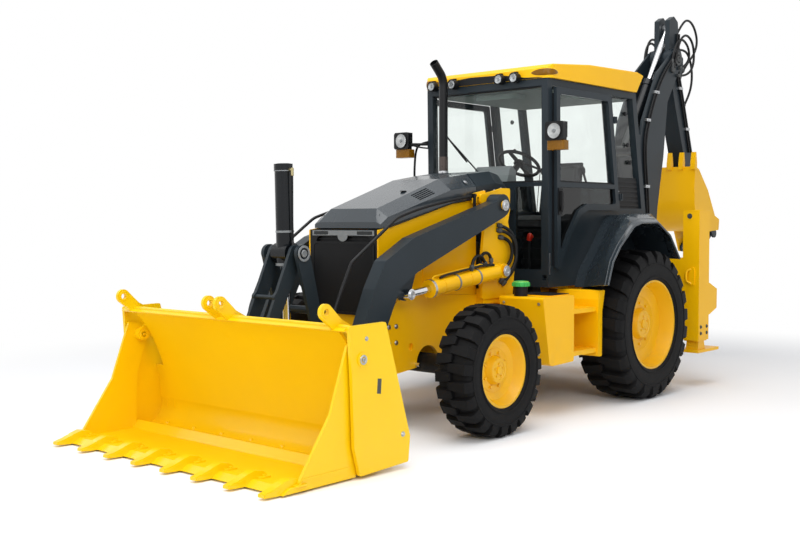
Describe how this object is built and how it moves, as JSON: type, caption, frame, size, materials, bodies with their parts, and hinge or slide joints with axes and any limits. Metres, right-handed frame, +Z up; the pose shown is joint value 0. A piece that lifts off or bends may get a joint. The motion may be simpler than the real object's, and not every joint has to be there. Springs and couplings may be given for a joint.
{
  "type": "backhoe loader",
  "caption": "Four-wheel backhoe loader with a clam-type multipurpose front bucket, closed cab, sideshift backhoe folded upright and vertical drop stands.",
  "frame": {"origin": "on the ground, at the middle of the overall box of the parked machine", "axes": "the front faces -Y, +X is the machine's left, +Z is up"},
  "size_m": [2.35, 7.645, 3.7371],
  "materials": {
    "painted_yellow": "gloss paint",
    "painted_dark": "satin dark grey paint",
    "black_paint": "satin black paint",
    "tyre_rubber": "moulded rubber",
    "chrome_rod": "polished",
    "tinted_glass": "green tinted",
    "black_plastic": "moulded",
    "rim_yellow": "gloss paint",
    "seat_vinyl": "grained vinyl",
    "engine_grey": "painted casting",
    "exhaust_steel": "heat resistant coating",
    "lamp_plastic": "lamp housing"
  },
  "bodies": {
    "root": {"main_frame": "painted_yellow", "loader_towers": "painted_yellow", "engine": "engine_grey", "grille": "black_plastic", "hood_side_panels": "painted_yellow", "exhaust_stack": "exhaust_steel", "cab_shell": "painted_dark", "cab_glass": "tinted_glass", "cab_roof": "painted_yellow", "lamps": "lamp_plastic", "operator_chair": "seat_vinyl", "controls": "black_plastic", "rear_fenders": "painted_dark", "side_tank_and_steps": "painted_yellow", "front_axle": "black_paint", "rear_axle": "black_paint", "rear_frame": "painted_yellow"},
    "hood": {"hood": "painted_dark"},
    "door_left": {"door_left": "painted_dark", "door_glass_left": "tinted_glass"},
    "door_right": {"door_right": "painted_dark", "door_glass_right": "tinted_glass"},
    "knuckle_left": {"knuckle_left": "black_paint"},
    "knuckle_right": {"knuckle_right": "black_paint"},
    "wheel_front_left": {"rim_front_left": "rim_yellow", "tyre_front_left": "tyre_rubber"},
    "wheel_front_right": {"rim_front_right": "rim_yellow", "tyre_front_right": "tyre_rubber"},
    "wheel_rear_left": {"rim_rear_left": "rim_yellow", "tyre_rear_left": "tyre_rubber"},
    "wheel_rear_right": {"rim_rear_right": "rim_yellow", "tyre_rear_right": "tyre_rubber"},
    "loader_boom": {"loader_boom": "painted_dark"},
    "guide_link": {"guide_link": "painted_dark"},
    "bucket_link": {"bucket_link": "painted_dark"},
    "tilt_barrel": {"tilt_barrel": "painted_dark"},
    "tilt_rod": {"tilt_rod": "chrome_rod"},
    "lift_barrels": {"lift_barrels": "painted_yellow"},
    "lift_rods": {"lift_rods": "chrome_rod"},
    "bucket_back": {"bucket_back": "painted_yellow"},
    "bucket_jaw": {"bucket_jaw": "painted_yellow"},
    "clam_barrels": {"clam_barrels": "painted_yellow"},
    "clam_rods": {"clam_rods": "chrome_rod"},
    "stabilizer_left": {"stabilizer_leg_left": "painted_yellow"},
    "stabilizer_right": {"stabilizer_leg_right": "painted_yellow"},
    "slide_carriage": {"slide_carriage": "painted_yellow"},
    "swing_rod_left": {"swing_rod_left": "chrome_rod"},
    "swing_rod_right": {"swing_rod_right": "chrome_rod"},
    "swing_post": {"swing_post": "painted_yellow"},
    "backhoe_boom": {"backhoe_boom": "painted_dark"},
    "boom_barrel": {"boom_barrel": "painted_dark"},
    "boom_rod": {"boom_rod": "chrome_rod"},
    "crowd_barrel": {"crowd_barrel": "painted_dark"},
    "crowd_rod": {"crowd_rod": "chrome_rod"},
    "dipper": {"dipper": "painted_dark"},
    "dipper_barrel": {"dipper_barrel": "painted_dark"},
    "dipper_rod": {"dipper_rod": "chrome_rod"},
    "rocker_link": {"rocker_link": "painted_dark"},
    "push_link": {"push_link": "painted_dark"},
    "backhoe_bucket": {"backhoe_bucket": "painted_yellow"}
  },
  "joints": [
    {"name": "steering", "type": "hinge", "parent": "root", "child": "knuckle_left", "pos_m": [0.742, -1.541, 0.478], "axis": [0, 0, 1], "range_deg": [-38, 38]},
    {"name": "steering_right", "type": "hinge", "parent": "root", "child": "knuckle_right", "pos_m": [-0.742, -1.541, 0.478], "axis": [0, 0, 1], "range_deg": [-38.5, 38.5]},
    {"name": "roll_front_left", "type": "hinge", "parent": "knuckle_left", "child": "wheel_front_left", "pos_m": [0.946, -1.541, 0.478], "axis": [1, 0, 0], "continuous": true},
    {"name": "roll_front_right", "type": "hinge", "parent": "knuckle_right", "child": "wheel_front_right", "pos_m": [-0.946, -1.541, 0.478], "axis": [1, 0, 0], "continuous": true},
    {"name": "roll_rear_left", "type": "hinge", "parent": "root", "child": "wheel_rear_left", "pos_m": [0.876, 0.659, 0.648], "axis": [1, 0, 0], "continuous": true},
    {"name": "roll_rear_right", "type": "hinge", "parent": "root", "child": "wheel_rear_right", "pos_m": [-0.876, 0.659, 0.648], "axis": [1, 0, 0], "continuous": true},
    {"name": "hood_lid", "type": "hinge", "parent": "root", "child": "hood", "pos_m": [0, -2.015, 1.506], "axis": [1, 0, 0], "range_deg": [0, 55]},
    {"name": "door_left_swing", "type": "hinge", "parent": "root", "child": "door_left", "pos_m": [0.684, 0.769, 1.64], "axis": [0, -0.1565, 0.9877], "range_deg": [0, 80]},
    {"name": "door_right_swing", "type": "hinge", "parent": "root", "child": "door_right", "pos_m": [-0.684, 0.769, 1.64], "axis": [0, 0.1565, -0.9877], "range_deg": [0, 80]},
    {"name": "loader_lift", "type": "hinge", "parent": "root", "child": "loader_boom", "pos_m": [0, -0.861, 1.674], "axis": [-1, 0, 0], "range_deg": [-3, 86]},
    {"name": "lift_barrel_swing", "type": "hinge", "parent": "root", "child": "lift_barrels", "pos_m": [0, -0.841, 1.155], "axis": [-1, 0, 0], "range_deg": [-3.05, 73.49]},
    {"name": "lift_rod_slide", "type": "slide", "parent": "lift_barrels", "child": "lift_rods", "axis": [0, -0.9931, -0.1174], "range_m": [-0.0249, 0.6583]},
    {"name": "bucket_tilt", "type": "hinge", "parent": "loader_boom", "child": "bucket_back", "pos_m": [0, -2.706, 0.245], "axis": [-1, 0, 0], "range_deg": [-110, 32]},
    {"name": "guide_link_swing", "type": "hinge", "parent": "loader_boom", "child": "guide_link", "pos_m": [0, -2.491, 0.695], "axis": [-1, 0, 0], "range_deg": [-104.29, 30.69]},
    {"name": "bucket_link_swing", "type": "hinge", "parent": "guide_link", "child": "bucket_link", "pos_m": [0, -2.661, 1.33], "axis": [-1, 0, 0], "range_deg": [-27.4, 92.96]},
    {"name": "tilt_barrel_swing", "type": "hinge", "parent": "guide_link", "child": "tilt_barrel", "pos_m": [0, -2.661, 1.33], "axis": [-1, 0, 0], "range_deg": [-6.84, 22.28]},
    {"name": "tilt_rod_slide", "type": "slide", "parent": "tilt_barrel", "child": "tilt_rod", "axis": [0, 0.0229, -0.9997], "range_m": [-0.3734, 0.11]},
    {"name": "clam_open", "type": "hinge", "parent": "bucket_back", "child": "bucket_jaw", "pos_m": [0, -3.109, 0.725], "axis": [-1, 0, 0], "range_deg": [0, 75]},
    {"name": "clam_barrel_swing", "type": "hinge", "parent": "bucket_back", "child": "clam_barrels", "pos_m": [0, -2.766, 0.24], "axis": [-1, 0, 0], "range_deg": [-3.23, 0.5]},
    {"name": "clam_rod_slide", "type": "slide", "parent": "clam_barrels", "child": "clam_rods", "axis": [0, -0.3324, 0.9431], "range_m": [-0.2174, 0.002]},
    {"name": "stabilizer_left_drop", "type": "slide", "parent": "root", "child": "stabilizer_left", "axis": [0, 0, -1], "range_m": [0, 0.48]},
    {"name": "stabilizer_right_drop", "type": "slide", "parent": "root", "child": "stabilizer_right", "axis": [0, 0, -1], "range_m": [0, 0.48]},
    {"name": "sideshift", "type": "slide", "parent": "root", "child": "slide_carriage", "axis": [1, 0, 0], "range_m": [-0.55, 0.55]},
    {"name": "backhoe_swing", "type": "hinge", "parent": "slide_carriage", "child": "swing_post", "pos_m": [0, 1.959, 0.8], "axis": [0, 0, 1], "range_deg": [-85, 85]},
    {"name": "swing_rod_left_slide", "type": "slide", "parent": "slide_carriage", "child": "swing_rod_left", "axis": [-0.8081, 0.589, 0], "range_m": [-0.0791, 0.0791]},
    {"name": "swing_rod_right_slide", "type": "slide", "parent": "slide_carriage", "child": "swing_rod_right", "axis": [0.8081, 0.589, 0], "range_m": [-0.0791, 0.0791]},
    {"name": "backhoe_boom_lower", "type": "hinge", "parent": "swing_post", "child": "backhoe_boom", "pos_m": [0, 2.239, 0.8], "axis": [-1, 0, 0], "range_deg": [0, 110]},
    {"name": "boom_barrel_swing", "type": "hinge", "parent": "swing_post", "child": "boom_barrel", "pos_m": [0, 2.199, 1.05], "axis": [-1, 0, 0], "range_deg": [-0.5, 120.97]},
    {"name": "boom_rod_slide", "type": "slide", "parent": "boom_barrel", "child": "boom_rod", "axis": [0, 0.0665, 0.9978], "range_m": [-0.002, 0.3629]},
    {"name": "dipper_out", "type": "hinge", "parent": "backhoe_boom", "child": "dipper", "pos_m": [0, 2.869, 3.276], "axis": [1, 0, 0], "range_deg": [0, 125]},
    {"name": "crowd_barrel_swing", "type": "hinge", "parent": "backhoe_boom", "child": "crowd_barrel", "pos_m": [0, 2.019, 2.26], "axis": [1, 0, 0], "range_deg": [-0.5, 8.27]},
    {"name": "crowd_rod_slide", "type": "slide", "parent": "crowd_barrel", "child": "crowd_rod", "axis": [0, 0.5519, 0.8339], "range_m": [-0.6072, 0.002]},
    {"name": "backhoe_bucket_open", "type": "hinge", "parent": "dipper", "child": "backhoe_bucket", "pos_m": [0, 3.539, 1.52], "axis": [1, 0, 0], "range_deg": [0, 150]},
    {"name": "rocker_swing", "type": "hinge", "parent": "dipper", "child": "rocker_link", "pos_m": [0, 3.449, 1.76], "axis": [1, 0, 0], "range_deg": [-0.5, 84.58]},
    {"name": "push_link_swing", "type": "hinge", "parent": "rocker_link", "child": "push_link", "pos_m": [0, 3.769, 1.4], "axis": [1, 0, 0], "range_deg": [-49.11, 0.5]},
    {"name": "dipper_barrel_swing", "type": "hinge", "parent": "dipper", "child": "dipper_barrel", "pos_m": [0, 3.089, 3.25], "axis": [1, 0, 0], "range_deg": [-0.5, 14.19]},
    {"name": "dipper_rod_slide", "type": "slide", "parent": "dipper_barrel", "child": "dipper_rod", "axis": [0, 0.345, -0.9386], "range_m": [-0.5115, 0.002]}
  ],
  "couplings": [
    {"joint": "steering_right", "follows": "steering", "ratio": 1},
    {"joint": "lift_barrel_swing", "follows": "loader_lift", "ratio": 0.84871},
    {"joint": "lift_rod_slide", "follows": "loader_lift", "m_per_rad": 0.43723},
    {"joint": "guide_link_swing", "follows": "bucket_tilt", "ratio": 0.94353},
    {"joint": "bucket_link_swing", "follows": "bucket_tilt", "ratio": -0.84053},
    {"joint": "tilt_barrel_swing", "follows": "bucket_tilt", "ratio": -0.198},
    {"joint": "tilt_rod_slide", "follows": "bucket_tilt", "m_per_rad": 0.19345},
    {"joint": "clam_barrel_swing", "follows": "clam_open", "ratio": -0.03643},
    {"joint": "clam_rod_slide", "follows": "clam_open", "m_per_rad": -0.16452},
    {"joint": "swing_rod_left_slide", "follows": "backhoe_swing", "m_per_rad": 0.052},
    {"joint": "swing_rod_right_slide", "follows": "backhoe_swing", "m_per_rad": -0.052},
    {"joint": "boom_barrel_swing", "follows": "backhoe_boom_lower", "ratio": 1.0952},
    {"joint": "boom_rod_slide", "follows": "backhoe_boom_lower", "m_per_rad": 0.18799},
    {"joint": "crowd_barrel_swing", "follows": "dipper_out", "ratio": 0.06219},
    {"joint": "crowd_rod_slide", "follows": "dipper_out", "m_per_rad": -0.27741},
    {"joint": "rocker_swing", "follows": "backhoe_bucket_open", "ratio": 0.56056},
    {"joint": "push_link_swing", "follows": "backhoe_bucket_open", "ratio": -0.32407},
    {"joint": "dipper_barrel_swing", "follows": "backhoe_bucket_open", "ratio": 0.09127},
    {"joint": "dipper_rod_slide", "follows": "backhoe_bucket_open", "m_per_rad": -0.1946}
  ]
}
